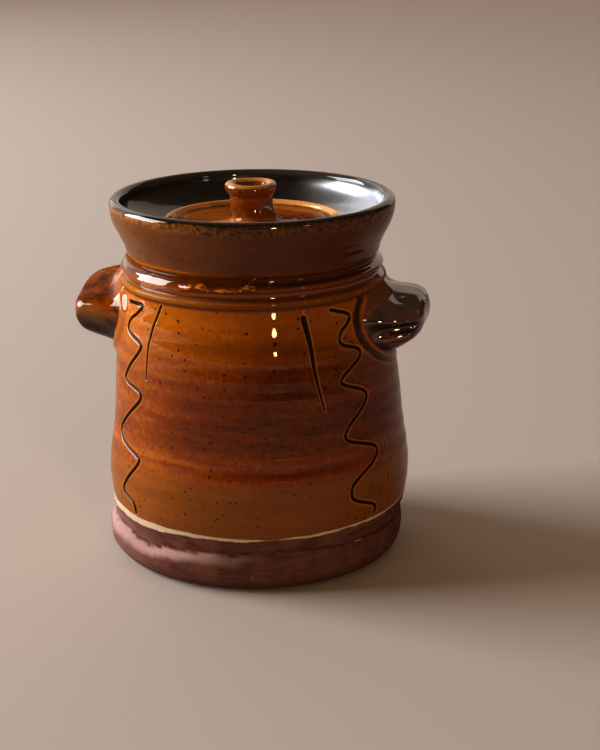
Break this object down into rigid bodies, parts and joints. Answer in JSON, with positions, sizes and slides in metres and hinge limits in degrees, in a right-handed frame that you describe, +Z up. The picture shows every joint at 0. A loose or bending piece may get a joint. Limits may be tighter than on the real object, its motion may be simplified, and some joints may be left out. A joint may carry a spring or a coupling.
{
  "type": "lidded jar",
  "caption": "Small wheel-thrown stoneware jar with two lug handles, a flared collar and a knobbed lid that sits down inside the collar.",
  "frame": {"origin": "centre of the foot, on the surface that the jar stands on", "axes": "+Z up the axis of the pot, +X out through the lug with the pressed crease, -Y out of the decorated front"},
  "size_m": [0.123, 0.106, 0.1304],
  "materials": {
    "jar_glaze": "gloss amber-brown glaze over red-brown stoneware, bare clay at the foot",
    "lid_glaze": "gloss amber glaze"
  },
  "bodies": {
    "root": {"jar": "jar_glaze", "lid": "lid_glaze"}
  },
  "joints": []
}
